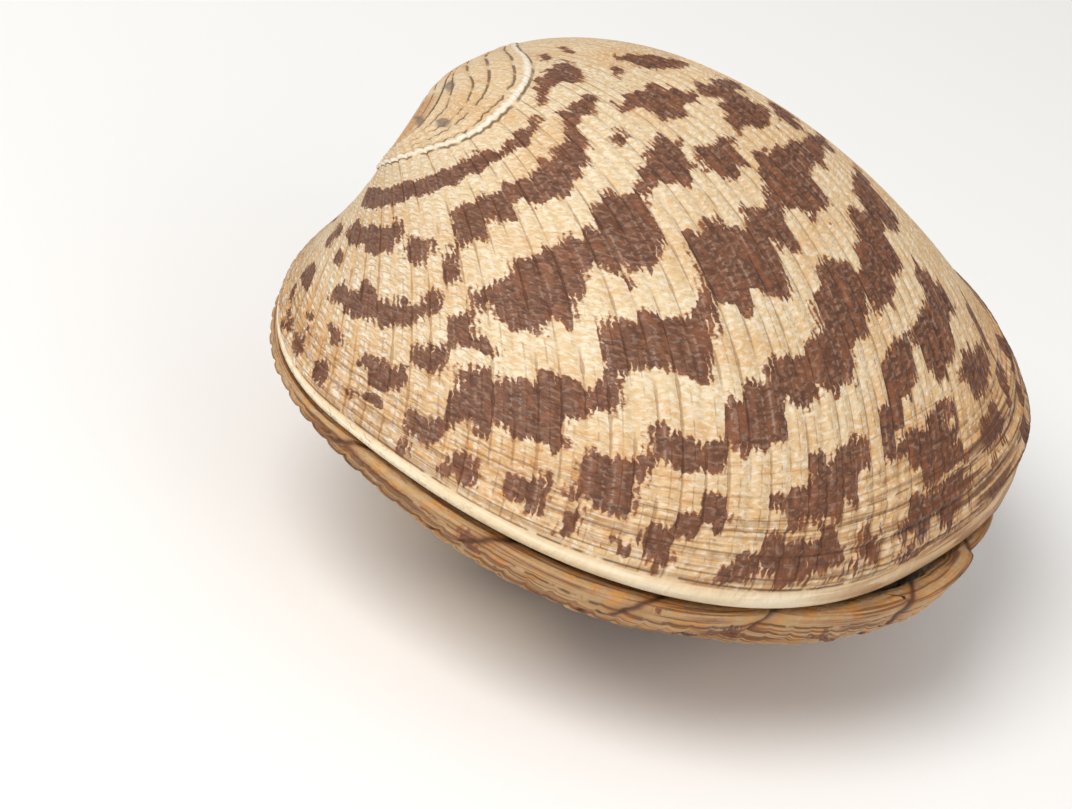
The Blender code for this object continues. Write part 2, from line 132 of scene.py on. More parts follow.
# Outlines of the brown blotches on the left valve, in pixels of the photograph.
BLOTCHES = (
    # the chain nearest the beak
    ((362, 207), (378, 211), (400, 202), (424, 195), (450, 187), (478, 172), (497, 163), (520, 148),
     (534, 139), (541, 124), (541, 113), (533, 118), (522, 130), (510, 142), (498, 153), (480, 151),
     (465, 161), (445, 170), (425, 178), (403, 184), (385, 190), (370, 188)),
    ((538, 55), (547, 53), (551, 59), (543, 62)),
    ((538, 82), (548, 69), (562, 60), (572, 61), (580, 73), (587, 83), (575, 81), (562, 82), (553, 86),
     (546, 95), (549, 106), (538, 107), (541, 95)),
    ((557, 45), (565, 46), (577, 52), (568, 53)),
    # the second chain
    ((573, 98), (584, 94), (598, 96), (596, 104), (598, 110), (594, 117), (582, 118), (579, 126), (584, 140),
     (591, 148), (587, 155), (590, 162), (582, 170), (574, 184), (571, 197), (560, 198), (549, 206),
     (537, 204), (522, 198), (517, 206), (518, 215), (506, 222), (496, 218), (490, 228), (487, 239),
     (472, 242), (459, 250), (458, 264), (457, 280), (447, 287), (441, 271), (449, 256), (456, 240),
     (453, 212), (460, 206), (472, 203), (480, 202), (484, 196), (496, 196), (508, 182), (527, 180),
     (537, 172), (547, 164), (557, 157), (558, 148), (565, 141), (566, 126), (558, 113), (571, 110),
     (577, 103)),
    # along the top edge
    ((609, 64), (620, 66), (627, 78), (620, 80), (613, 73)),
    ((612, 58), (630, 55), (650, 56), (672, 60), (690, 66), (684, 71), (670, 67), (655, 69), (642, 70),
     (634, 62), (620, 61)),
    ((610, 138), (619, 131), (629, 139), (624, 147), (616, 143)),
    ((616, 104), (626, 97), (625, 92), (643, 92), (644, 82), (655, 84), (664, 91), (677, 87), (692, 93),
     (699, 96), (697, 105), (682, 103), (686, 118), (677, 120), (662, 119), (646, 108), (632, 109),
     (620, 111)),
    ((694, 83), (706, 85), (720, 79), (733, 82), (747, 93), (737, 92), (750, 102), (766, 110), (772, 117),
     (770, 128), (757, 131), (746, 127), (738, 134), (727, 125), (730, 118), (722, 110), (724, 101),
     (706, 96), (699, 99)),
    ((766, 102), (780, 108), (795, 118), (799, 128), (785, 125), (771, 113)),
    ((649, 136), (660, 135), (675, 139), (683, 150), (690, 168), (694, 184), (685, 186), (677, 180),
     (665, 184), (652, 191), (641, 187), (638, 174), (643, 168), (646, 158), (652, 150)),
    ((691, 147), (703, 146), (718, 147), (722, 138), (733, 139), (738, 150), (744, 162), (749, 168),
     (737, 167), (736, 178), (729, 182), (716, 173), (705, 168), (697, 157)),
    # the big blotch behind the middle
    ((751, 155), (768, 157), (778, 150), (792, 143), (803, 143), (805, 136), (820, 136), (832, 153),
     (822, 151), (823, 166), (811, 168), (816, 186), (826, 203), (823, 213), (808, 213), (793, 206),
     (783, 205), (789, 228), (795, 247), (787, 252), (776, 247), (777, 258), (787, 280), (792, 298),
     (775, 298), (762, 295), (750, 300), (748, 312), (737, 306), (730, 303), (717, 300), (706, 303),
     (703, 284), (695, 265), (690, 252), (687, 240), (700, 232), (704, 221), (712, 221), (724, 226),
     (738, 226), (748, 231), (745, 220), (740, 206), (755, 203), (760, 210), (769, 207), (770, 197),
     (762, 186), (757, 172)),
    # the third chain
    ((470, 292), (480, 281), (490, 287), (503, 281), (512, 270), (510, 263), (530, 256), (541, 257),
     (545, 249), (560, 248), (564, 240), (575, 240), (583, 244), (590, 235), (599, 224), (595, 212),
     (597, 203), (603, 201), (606, 193), (615, 196), (622, 201), (631, 198), (633, 190), (640, 187),
     (646, 193), (649, 205), (652, 215), (657, 224), (663, 235), (661, 247), (663, 258), (655, 260),
     (648, 265), (640, 258), (634, 262), (633, 272), (625, 268), (617, 273), (610, 270), (602, 265),
     (590, 268), (589, 280), (592, 290), (582, 297), (577, 303), (577, 320), (573, 330), (565, 325),
     (560, 318), (548, 322), (542, 325), (538, 335), (531, 337), (524, 328), (512, 331), (502, 322),
     (499, 312), (490, 308), (478, 312), (472, 304)),
    ((446, 325), (452, 318), (462, 316), (466, 308), (476, 310), (478, 328), (470, 343), (460, 343),
     (456, 353), (448, 346)),
    ((416, 358), (423, 345), (429, 342), (434, 354), (446, 345), (449, 358), (443, 370), (436, 375),
     (428, 374), (420, 370)),
    # the fourth chain, from the front margin to the big block
    ((405, 420), (413, 413), (420, 414), (420, 420), (427, 424), (433, 421), (441, 414), (450, 406),
     (455, 398), (459, 385), (460, 372), (466, 364), (474, 365), (477, 374), (484, 372), (490, 380),
     (500, 380), (511, 376), (520, 379), (532, 385), (540, 379), (546, 372), (554, 381), (562, 382),
     (570, 377), (576, 385), (580, 396), (584, 398), (592, 390), (597, 386), (603, 378), (606, 370),
     (608, 362), (606, 350), (604, 338), (604, 324), (608, 311), (616, 316), (625, 320), (633, 327),
     (640, 320), (650, 310), (656, 309), (662, 320), (672, 321), (683, 320), (690, 313), (697, 310),
     (703, 302), (710, 303), (716, 315), (716, 328), (713, 345), (714, 358), (711, 370), (710, 382),
     (705, 385), (698, 376), (690, 378), (680, 371), (668, 364), (660, 374), (650, 376), (640, 370),
     (628, 368), (622, 372), (619, 380), (620, 400), (617, 415), (605, 413), (595, 412), (588, 424),
     (582, 417), (572, 419), (568, 428), (568, 447), (558, 456), (552, 452), (546, 442), (536, 436),
     (528, 444), (518, 446), (510, 440), (505, 428), (498, 422), (492, 432), (485, 438), (477, 430),
     (470, 421), (460, 420), (450, 428), (440, 434), (433, 438), (427, 444), (420, 449), (412, 440),
     (406, 430)),
    # the fifth chain, from the belly up to the top of the back
    ((568, 495), (575, 480), (580, 465), (590, 460), (597, 451), (605, 457), (612, 466), (620, 462),
     (633, 459), (640, 463), (647, 458), (653, 450), (651, 440), (652, 431), (658, 427), (665, 420),
     (672, 428), (680, 437), (690, 437), (700, 440), (708, 449), (716, 443), (722, 437), (723, 425),
     (725, 410), (730, 401), (737, 399), (744, 397), (746, 385), (752, 383), (760, 390), (768, 388),
     (770, 377), (765, 366), (768, 357), (776, 360), (785, 364), (789, 355), (793, 350), (805, 350),
     (807, 341), (813, 337), (820, 340), (819, 328), (815, 315), (811, 303), (811, 290), (820, 287),
     (819, 275), (820, 265), (832, 258), (840, 260), (848, 263), (856, 262), (858, 252), (860, 240),
     (857, 228), (850, 218), (848, 211), (855, 210), (862, 214), (864, 207), (858, 195), (852, 183),
     (855, 177), (850, 166), (860, 172), (870, 185), (880, 197), (888, 208), (896, 222), (899, 231),
     (886, 230), (884, 236), (890, 247), (898, 260), (903, 272), (905, 280), (892, 273), (893, 285),
     (893, 300), (890, 310), (883, 312), (876, 308), (868, 300), (865, 306), (866, 320), (868, 332),
     (862, 341), (850, 347), (854, 360), (857, 375), (855, 383), (838, 388), (836, 396), (828, 392),
     (820, 390), (818, 400), (810, 402), (806, 411), (800, 405), (790, 402), (783, 398), (782, 410),
     (785, 425), (785, 438), (778, 440), (774, 450), (768, 456), (758, 452), (752, 446), (744, 455),
     (738, 448), (730, 444), (727, 455), (722, 468), (716, 472), (708, 474), (700, 474), (694, 468),
     (687, 480), (681, 488), (675, 480), (668, 470), (660, 463), (654, 468), (648, 475), (642, 488),
     (637, 490), (638, 505), (632, 515), (622, 513), (610, 509), (600, 505), (588, 502), (576, 501)),
    # behind it, towards the back margin
    ((913, 263), (920, 270), (928, 274), (935, 280), (945, 292), (952, 303), (957, 315), (949, 312),
     (948, 322), (951, 335), (955, 350), (954, 358), (945, 365), (943, 375), (938, 383), (932, 375),
     (928, 362), (921, 352), (914, 346), (908, 336), (911, 326), (917, 318), (919, 310), (925, 308),
     (922, 295), (917, 283), (913, 272)),
    ((882, 365), (886, 355), (892, 345), (896, 338), (903, 337), (910, 345), (915, 355), (918, 375),
     (917, 385), (912, 390), (906, 395), (904, 402), (905, 415), (902, 425), (898, 432), (896, 440),
     (897, 447), (903, 440), (910, 432), (920, 428), (926, 430), (923, 420), (924, 413), (930, 412),
     (936, 403), (942, 402), (944, 397), (950, 402), (953, 412), (954, 422), (949, 425), (945, 420),
     (946, 432), (952, 437), (960, 440), (966, 448), (968, 455), (962, 462), (952, 468), (945, 475),
     (938, 480), (932, 490), (923, 492), (921, 480), (920, 465), (913, 467), (908, 458), (902, 458),
     (896, 460), (888, 464), (884, 455), (882, 445), (879, 435), (882, 425), (881, 415), (886, 405),
     (890, 400), (885, 390), (882, 380)),
    ((902, 520), (908, 510), (917, 500), (920, 497), (935, 495), (945, 483), (960, 475), (970, 473),
     (967, 482), (972, 490), (960, 500), (950, 512), (944, 520), (932, 520), (925, 530), (912, 537),
     (900, 540), (893, 542), (892, 535), (897, 528), (905, 524)),
    ((960, 360), (962, 348), (967, 343), (974, 350), (980, 345), (985, 352), (988, 362), (989, 375),
     (985, 385), (980, 392), (975, 400), (971, 398), (968, 388), (962, 378)),
    ((978, 420), (982, 415), (988, 405), (990, 393), (995, 400), (997, 412), (1001, 420), (1000, 428),
     (996, 435), (993, 443), (988, 451), (982, 446), (979, 435)),
    ((990, 460), (994, 458), (995, 466), (991, 467)),
    ((960, 296), (968, 305), (978, 322), (985, 338), (990, 352), (985, 345), (978, 333), (970, 318)),
    ((994, 358), (1000, 368), (1005, 382), (1007, 400), (1008, 412), (1003, 405), (1001, 390), (998, 375)),
    ((1002, 430), (1004, 440), (999, 452), (996, 455), (999, 442)),
    ((1018, 420), (1021, 432), (1020, 445), (1015, 455), (1016, 440)),
    # near the belly margin
    ((440, 466), (448, 463), (455, 455), (460, 452), (465, 459), (473, 462), (481, 466), (480, 476),
     (474, 484), (462, 480), (452, 477), (443, 472)),
    ((501, 482), (508, 471), (514, 476), (524, 479), (531, 476), (538, 480), (545, 473), (550, 480),
     (549, 490), (544, 496), (544, 505), (536, 517), (527, 512), (520, 502), (507, 500), (503, 490)),
    ((550, 530), (562, 524), (567, 513), (575, 507), (581, 516), (583, 527), (581, 536), (572, 534),
     (563, 538)),
    ((608, 545), (616, 538), (621, 535), (628, 541), (635, 536), (643, 531), (651, 525), (658, 524),
     (663, 530), (672, 528), (679, 528), (682, 520), (680, 512), (690, 513), (700, 512), (703, 505),
     (701, 498), (707, 492), (715, 494), (722, 489), (728, 496), (730, 508), (731, 517), (728, 526),
     (722, 533), (716, 540), (705, 538), (695, 538), (686, 536), (680, 545), (673, 550), (672, 558),
     (671, 565), (665, 570), (655, 568), (645, 562), (635, 558), (625, 555), (614, 552)),
    ((714, 585), (718, 575), (727, 570), (733, 563), (740, 560), (744, 553), (750, 560), (757, 565),
     (760, 573), (752, 582), (745, 588), (735, 585), (725, 588)),
    ((759, 560), (762, 550), (768, 542), (775, 540), (785, 537), (795, 532), (810, 535), (820, 530),
     (832, 532), (840, 532), (842, 545), (843, 560), (835, 565), (825, 565), (815, 568), (806, 573),
     (803, 582), (797, 590), (785, 592), (775, 590), (770, 580), (765, 570)),
    ((816, 590), (822, 583), (830, 577), (845, 573), (860, 570), (862, 576), (855, 582), (845, 586),
     (832, 588)),
    ((850, 552), (858, 545), (860, 535), (866, 526), (873, 530), (875, 540), (874, 552), (866, 556),
     (857, 557)),
    ((772, 492), (780, 489), (790, 490), (800, 487), (812, 486), (817, 478), (813, 470), (809, 460),
     (811, 450), (818, 449), (826, 455), (828, 446), (838, 444), (848, 443), (850, 437), (855, 431),
     (862, 437), (867, 450), (868, 460), (863, 467), (858, 480), (859, 495), (860, 505), (856, 512),
     (850, 508), (846, 500), (843, 510), (841, 518), (830, 520), (818, 522), (808, 520), (800, 525),
     (790, 525), (782, 517), (780, 505), (775, 500)),
    ((886, 570), (892, 564), (905, 560), (918, 553), (919, 560), (908, 568), (895, 572)),
    ((935, 545), (942, 537), (955, 528), (957, 533), (948, 541), (938, 547)),
    ((985, 500), (991, 490), (993, 495), (988, 502)),
    # the front end
    ((344, 198), (346, 203), (342, 212), (336, 220), (331, 222), (335, 213), (339, 205)),
    ((343, 220), (343, 232), (338, 238), (334, 241), (331, 248), (326, 248), (328, 240), (333, 234)),
    ((337, 254), (341, 250), (343, 257), (343, 263), (338, 266), (334, 260)),
    ((348, 236), (352, 228), (357, 225), (360, 221), (363, 229), (371, 226), (381, 230), (383, 224),
     (388, 229), (394, 227), (398, 220), (401, 222), (402, 235), (400, 244), (391, 250), (388, 255),
     (378, 257), (365, 254), (363, 248), (352, 247)),
    ((403, 252), (406, 246), (416, 240), (424, 246), (433, 243), (435, 249), (428, 258), (423, 260),
     (420, 268), (412, 263), (407, 267)),
    ((303, 275), (308, 270), (312, 264), (317, 267), (316, 275), (313, 284), (309, 292), (304, 287)),
    ((297, 284), (294, 290), (291, 299), (295, 299), (298, 291)),
    ((330, 302), (332, 294), (337, 288), (342, 283), (350, 291), (357, 294), (364, 286), (370, 284),
     (377, 294), (382, 294), (386, 300), (386, 308), (392, 310), (400, 304), (402, 298), (411, 305),
     (418, 309), (426, 300), (428, 292), (437, 288), (443, 300), (443, 308), (439, 313), (427, 317),
     (415, 323), (413, 330), (407, 331), (404, 326), (392, 329), (384, 330), (377, 318), (365, 318),
     (359, 306), (352, 314), (347, 320), (342, 320), (343, 303), (333, 306)),
    ((285, 322), (290, 317), (294, 320), (295, 328), (291, 333), (287, 337), (283, 331)),
    ((295, 338), (299, 335), (303, 339), (306, 345), (303, 352), (299, 355), (295, 348)),
    ((306, 331), (310, 329), (313, 333), (311, 339), (307, 337)),
    ((306, 313), (310, 315), (313, 320), (310, 324)),
    ((328, 332), (332, 326), (338, 326), (342, 331), (341, 337), (343, 342), (339, 346), (333, 341)),
    ((360, 362), (364, 356), (372, 363), (380, 366), (388, 360), (395, 366), (402, 366), (409, 376),
     (404, 386), (396, 393), (386, 391), (380, 385), (368, 374)),
    ((314, 368), (320, 361), (326, 364), (327, 373), (322, 380), (315, 374)),
    ((344, 396), (350, 389), (356, 395), (353, 402), (347, 403)),
    ((393, 448), (400, 445), (406, 452), (404, 459), (397, 455)),
)
# Fainter, greyer marks on the umbo, and the tawny wedge beside its innermost ring, partly its own colour and
# partly painted shade.
UMBO_MARKS = (
    ((415, 118), (425, 118), (426, 127), (420, 130)),
    ((438, 122), (449, 120), (453, 124), (449, 130), (440, 130)),
    ((443, 88), (452, 82), (456, 86), (450, 94)),
)
UMBO_WEDGE = (((388, 152), (393, 135), (401, 119), (412, 106), (428, 97), (440, 96), (434, 109), (427, 120),
               (415, 132), (402, 144)),)
# The rings of the umbo, from the line round its pale ridge to the crease beside the beak.
UMBO_RINGS = (
    ((400, 162), (420, 157), (440, 151), (457, 145), (469, 140), (481, 133), (491, 127), (498, 121),
     (504, 115), (514, 106), (523, 95), (530, 82), (533, 70), (528, 58)),
    ((402, 157), (420, 151), (440, 145), (460, 138), (471, 131), (480, 123), (485, 116), (495, 108),
     (503, 100), (506, 94), (510, 89), (515, 84), (515, 73), (513, 64), (512, 60)),
    ((405, 152), (428, 142), (448, 131), (464, 120), (475, 108), (483, 99), (488, 88), (490, 73), (488, 66)),
    ((402, 149), (424, 138), (442, 128), (456, 118), (467, 106), (472, 95), (474, 84), (471, 77), (467, 72)),
    ((398, 149), (412, 140), (427, 130), (438, 119), (447, 108), (450, 98), (453, 87), (452, 82)),
    ((390, 152), (404, 142), (418, 130), (428, 119), (435, 108), (441, 97), (445, 88)),
)


def margin_points():
    """Close points round the margin, from the beak forward, down, back and up to the beak again."""
    turn = np.linspace(0, math.pi / 2, 400)
    sine, cosine = np.sin(turn), np.cos(turn)
    front, rear = BELLY_X + FRONT_REACH, REAR_REACH - BELLY_X
    across = (
        -FRONT_REACH * sine ** (2 / FRONT_TOP),
        BELLY_X - front * cosine ** (2 / FRONT_BELLY),
        BELLY_X + rear * sine ** (2 / REAR_BELLY),
        REAR_REACH * cosine ** (2 / REAR_TOP),
    )
    down = (
        FRONT_DEPTH * (1 - cosine ** (2 / FRONT_TOP)),
        FRONT_DEPTH + (HEIGHT - FRONT_DEPTH) * sine ** (2 / FRONT_BELLY),
        REAR_DEPTH + (HEIGHT - REAR_DEPTH) * cosine ** (2 / REAR_BELLY),
        REAR_DEPTH * (1 - sine ** (2 / REAR_TOP)),
    )
    points = np.concatenate([np.stack(quarter, 1)[:-1] for quarter in zip(across, down)])
    points[:, 1] = HINGE_SET + points[:, 1] * (HEIGHT - HINGE_SET) / HEIGHT
    return np.vstack([points, points[:1]])


MARGIN = margin_points()
TRAVEL = np.concatenate([[0], np.cumsum(np.hypot(*np.diff(MARGIN, axis=0).T))])
PERIMETER = TRAVEL[-1]
TRAVEL /= PERIMETER
# How far the wall runs for each unit of -ln(s), at the belly.
RUN = HEIGHT * math.hypot(1, 1 / COIL)
# The shell as it lies, and the two valves in it. The lower one is the upper one's mirror image.
LYING = Matrix.Rotation(FRONT_ROLL, 4, "Y") @ Matrix.Rotation(BELLY_TILT, 4, "X")
LYING = LYING @ Matrix.Diagonal((UNIT, -UNIT, UNIT, 1))
UPPER = Matrix.Translation((0, 0, HINGE_GAP)) @ Matrix.Rotation(GAPE, 4, "X")
LOWER = Matrix.Diagonal((1, 1, -1, 1))


def smooth(value, low, high):
    """0 below low, 1 above high, and a soft step between them. low may be the larger."""
    t = np.clip((value - low) / (high - low), 0, 1)
    return t * t * (3 - 2 * t)


def along_ribs(u, s):
    """The share of the way round a growth line where the rib line that meets the margin at u crosses it."""
    waves = sum(
        np.sin((k + 1) * math.pi * u) * (constant + slope * s)
        for k, (constant, slope) in enumerate(RIB_DRIFT)
    )
    return u + (1 - s) * waves


def lobe_reach(u, s):
    """How far the lobes of the right valve reach out past the margin's plain outline."""
    reach = np.zeros_like(u)
    for start, end, at_start, at_end, bulge in LOBES:
        part = (u + LOBE_SLANT * (1 - s) - start) / (end - start)
        inside = np.clip(part, 0, 1)
        lobe = at_start + (at_end - at_start) * inside + bulge * (4 * inside * (1 - inside)) ** 0.6
        reach = np.where((part >= 0) & (part < 1), lobe, reach)
    return reach * smooth(s, NO_LOBES, FULL_LOBES)


def wall(u, s, lobed, share=1.0):
    """Points of the bare outside of a valve where rib lines u cross growth lines s.

    A share below 1 draws them in towards the middle of the hollow.
    """
    u, s = np.broadcast_arrays(u, s)
    way = np.clip(along_ribs(u, s), 0, 1)
    reach = 1 + lobed * lobe_reach(u, s) / HEIGHT
    x = np.interp(way, TRAVEL, MARGIN[:, 0]) * reach
    y = np.interp(way, TRAVEL, MARGIN[:, 1]) * reach
    steep = np.clip((s - STEEP_FROM) / (1 - STEEP_FROM), 0, 1)
    rise = MARGIN_DROP * np.clip(y / HEIGHT, 0, 1) ** 0.7 * (1 - steep**2) ** 0.6
    x = CAVITY_CENTRE[0] + share * (x - CAVITY_CENTRE[0])
    y = CAVITY_CENTRE[1] + share * (y - CAVITY_CENTRE[1])
    lean = COIL_LEAN * np.cos(math.pi * way) + COIL_SPREAD * np.cos(2 * math.pi * way)
    angle = -np.log(s) / (COIL * (1 + lean))
    slowed = EASY_TURN + LAST_TURN * np.tanh((angle - EASY_TURN) / LAST_TURN)
    angle = np.where(angle < EASY_TURN, angle, slowed)
    return np.stack([s * x, s * y * np.cos(angle), s * y * np.sin(angle) + rise], -1)


def outward(u, s, lobed):
    """Unit normals of the bare outside."""
    step = 0.002
    round_it = wall(u + step, s, lobed) - wall(u - step, s, lobed)
    along = wall(u, np.minimum(s * 1.006, 1.0), lobed) - wall(u, s * 0.994, lobed)
    normal = np.cross(round_it, along)
    return normal / (np.linalg.norm(normal, axis=-1, keepdims=True) + 1e-9)


def relief(u, s):
    """How far the outside stands proud of the bare wall: ribs, cords, growth ledges and the umbo's rings."""
    chance = np.random.default_rng(5)
    rib_heights = 0.7 + 0.6 * chance.random(RIBS)
    across = 2 * ((u * RIBS) % 1) - 1
    rear = smooth(u, *REAR_LINES)
    ribs = RIB_HEIGHT * (1 - across**4) * rib_heights[(u * RIBS).astype(int) % RIBS]
    ribs = ribs * smooth(s, *RIBS_FROM) * (1 - 0.8 * smooth(s, *RIBS_TO))
    ribs = ribs * (1 - 0.6 * smooth(u, *HIND_LINES)) * (1 - 0.7 * rear * smooth(s, *REAR_MARGIN))
    cords = CORD_HEIGHT * np.cos(2 * math.pi * (s - 1) / CORD_PITCH) * smooth(s, *CORDS_FROM)
    raised = ribs + cords * (1 - smooth(s, *CORDS_TO)) * (1 - 0.7 * rear)
    higher = 1 + REAR_LEDGES * smooth(u, *LEDGE_LINES)
    for scale, height in LEDGES:
        raised = raised + height * np.where(s <= scale, np.exp((s - scale) / LEDGE_WIDTH), 0) * higher
    rings = ring_level(u, s)
    arches = np.sqrt(np.sin(math.pi * (rings % 1))) * (rings > 0)
    raised = raised + RING_HEIGHT * s / RING_SCALE * arches
    depth = np.interp(along_ribs(u, s), TRAVEL, MARGIN[:, 1])
    return raised * np.clip((depth - NO_RELIEF) / (FULL_RELIEF - NO_RELIEF), 0, 1)


def placed(points, within):
    """Shell coordinates, y to the belly, turned into metres with z up and the shell lying as it rests."""
    whole = np.array(LYING @ within)
    return points @ whole[:3, :3].T + whole[:3, 3] + SETTLED


def in_photo(points):
    """Pixels of the photograph where the camera sees these points."""
    turned = (points - np.array(CAMERA_AT)) @ np.array(CAMERA_TURN.to_matrix())
    focal = LENS / SENSOR * PHOTO.x
    across = PHOTO.x / 2 - focal * turned[..., 0] / turned[..., 2]
    down = PHOTO.y / 2 + focal * turned[..., 1] / turned[..., 2]
    return np.stack([across, down], -1)


def in_scene(name, data):
    """A new object made of this data, in the scene."""
    made = bpy.data.objects.new(name, data)
    bpy.context.scene.collection.objects.link(made)
    return made


def unmarked(u):
    """What marks points that lie outside all marks."""
    return np.full((*u.shape, 4), UNMARKED)


def valve_blocks(lobed, marks_of):
    """Blocks of rows, from the beak over the rim into the hollow: points, rib lines, growth lines, marks."""
    blocks = []
    for columns, scales in BANDS:
        u, s = np.meshgrid(np.arange(columns) / columns, scales)
        proud = relief(u, s)
        proud[s == 1.0] = 0
        points = wall(u, s, lobed) + outward(u, s, lobed) * proud[..., None]
        blocks.append((points, u, s, marks_of(u, s)))
    u = u[:1]
    for share in RIM_SHARES:
        points = wall(u, np.ones_like(u), lobed, share)
        blocks.append((points, u, np.full_like(u, 1.0 + (1 - share) * RIM_STEP), unmarked(u)))
    u, s = np.meshgrid(np.arange(INSIDE_COLUMNS) / INSIDE_COLUMNS, INSIDE_SCALES)
    drawn_in = INSIDE_SHARE * np.sqrt(1 - ((1 - s) / (1 - CAVITY_END)) ** 2)
    blocks.append((wall(u, s, lobed, drawn_in), u, INSIDE_SUM - s, unmarked(u)))
    return blocks


def side_walls(first, count, next_first, next_count):
    """Triangles between two closed loops that may have different numbers of points, with their wraps."""
    corners, wraps = [], []
    i = j = 0
    while i < count or j < next_count:
        here, there = (i % count, i // count), (j % next_count, j // next_count)
        if j == next_count or (i < count and (i + 1) / count <= (j + 1) / next_count):
            i += 1
            third, wrap = first + i % count, i // count
        else:
            j += 1
            third, wrap = next_first + j % next_count, j // next_count
        corners.append((first + here[0], third, next_first + there[0]))
        wraps.append((here[1], wrap, there[1]))
    return corners, wraps


def skin(loops, uv):
    """Quads between loops that match and triangles between those that don't, each with its places in uv."""
    quads, triangles, triangle_uv = [], [], []
    for (first, count), (second, other) in zip(loops, loops[1:]):
        if count == other:
            j = np.arange(count)
            after = (j + 1) % count
            quads.append(np.stack([first + j, first + after, second + after, second + j], 1))
            continue
        corners, wraps = side_walls(first, count, second, other)
        triangles += corners
        for triangle, wrap in zip(corners, wraps):
            triangle_uv.append([(uv[v][0] + w, uv[v][1]) for v, w in zip(triangle, wrap)])
    quads = np.concatenate(quads)
    quad_uv = uv[quads]
    last = quad_uv[:, 1, 0] < quad_uv[:, 0, 0]
    quad_uv[last, 1:3, 0] += 1
    return quads, quad_uv, triangles, triangle_uv


def valve_mesh(name, lobed, upper, marks_of):
    """One valve as a closed mesh. Its UV map holds the rib line and the growth line, over 1 on the inside."""
    blocks = valve_blocks(lobed, marks_of)
    flat = np.concatenate([points.reshape(-1, 3) for points, *_ in blocks])
    uv = np.concatenate([np.stack((u, v), -1).reshape(-1, 2) for _, u, v, _ in blocks])
    marks = np.concatenate([block[-1].reshape(-1, 4) for block in blocks])
    loops, start = [], 0
    for points, *_ in blocks:
        rows, columns = points.shape[:2]
        loops += [(start + row * columns, columns) for row in range(rows)]
        start += rows * columns
    quads, quad_uv, faces, face_uv = skin(loops, uv)
    for first, count in (loops[0], loops[-1]):
        middle = len(flat)
        flat = np.vstack([flat, flat[first : first + count].mean(axis=0)])
        marks = np.vstack([marks, np.full(4, UNMARKED)])
        for j in range(count):
            after = first + (j + 1) % count
            faces.append((first + j, after, middle) if first else (after, first + j, middle))
            level = uv[first][1]
            face_uv.append([((j + k) / count, level) for k in ((0, 1, 0.5) if first else (1, 0, 0.5))])
    flat = placed(flat, UPPER if upper else LOWER)
    flat[:, 2] = flat[:, 2].clip(FLOOR_CLEARANCE)
    if upper:
        quads, quad_uv = quads[:, ::-1], quad_uv[:, ::-1]
        faces = [face[::-1] for face in faces]
        face_uv = [corners[::-1] for corners in face_uv]
    mesh = bpy.data.meshes.new(name)
    mesh.from_pydata(flat.tolist(), [], quads.tolist() + faces)
    layer = mesh.uv_layers.new(name="growth")
    every = np.concatenate([quad_uv.reshape(-1, 2), np.array([c for corners in face_uv for c in corners])])
    layer.data.foreach_set("uv", every.ravel())
    for mark, values in zip(("mark", "ring", "smudge", "wedge"), marks.T):
        mesh.attributes.new(mark, "FLOAT", "POINT").data.foreach_set("value", values.copy())
    mesh.shade_smooth()
    return in_scene(name, mesh)


def as_seen(u, s):
    """Pixels of the photograph where points of the left valve lie, and how squarely they are seen."""
    points = placed(wall(u, s, 0.0), UPPER)
    ahead = placed(wall(u, s, 0.0) + outward(u, s, 0.0), UPPER) - points
    to_camera = np.array(CAMERA_AT) - points
    facing = (ahead * to_camera).sum(-1)
    facing /= np.linalg.norm(ahead, axis=-1) * np.linalg.norm(to_camera, axis=-1)
    return in_photo(points), facing


def flattened(u, s):
    """Rib lines and growth lines as a flat map, in which a blotch has about its true shape."""
    return np.stack([u * PERIMETER, -np.log(s) * RUN], -1)


def on_map(outlines):
    """The outlines, given in pixels of the photograph, laid on the flat map of the left valve."""
    u, s = np.meshgrid(PICK_LINES, PICK_SCALES)
    pixels, facing = as_seen(u, s)
    seen = facing > PICK_FACING
    pixels, places = pixels[seen], flattened(u[seen], s[seen])
    laid = []
    for outline in outlines:
        gaps = np.linalg.norm(pixels[None] - np.array(outline, float)[:, None], axis=-1)
        laid.append(places[gaps.argmin(axis=1)])
    return laid


def laid_rings():
    """For each ring of the umbo, from the outermost in, the rib lines and the scales it passes."""
    rings = []
    for places in on_map(UMBO_RINGS):
        places = places[places[:, 0].argsort()]
        lines, scales = places[:, 0] / PERIMETER, np.exp(-places[:, 1] / RUN)
        lines = np.append(lines, lines[-1] + RING_ENDS)
        rings.append((lines, np.append(scales, scales[-1] - RING_ENDS * RING_FALL)))
    return rings


RINGS = laid_rings()
LAID, SMUDGES, WEDGE = on_map(BLOTCHES), on_map(UMBO_MARKS), on_map(UMBO_WEDGE)


def ring_level(u, s):
    """0 on the outermost ring of the umbo, 1 on the next, and so on towards the beak. Negative outside."""
    columns = u[0]
    scales = [np.interp(columns, *RINGS[0])]
    for ring in RINGS[1:]:
        scales.append(np.minimum(np.interp(columns, *ring), scales[-1] - RING_GAP))
    far = FAR_RINGS * RING_PITCH
    scales = np.stack([scales[0] + far, *scales, scales[-1] - far])
    levels = np.array([-FAR_RINGS, *range(len(RINGS)), len(RINGS) - 1 + FAR_RINGS], float)
    level = np.empty(u.shape)
    for j in range(len(columns)):
        level[:, j] = np.interp(-s[:, j], -scales[:, j], levels)
    return level


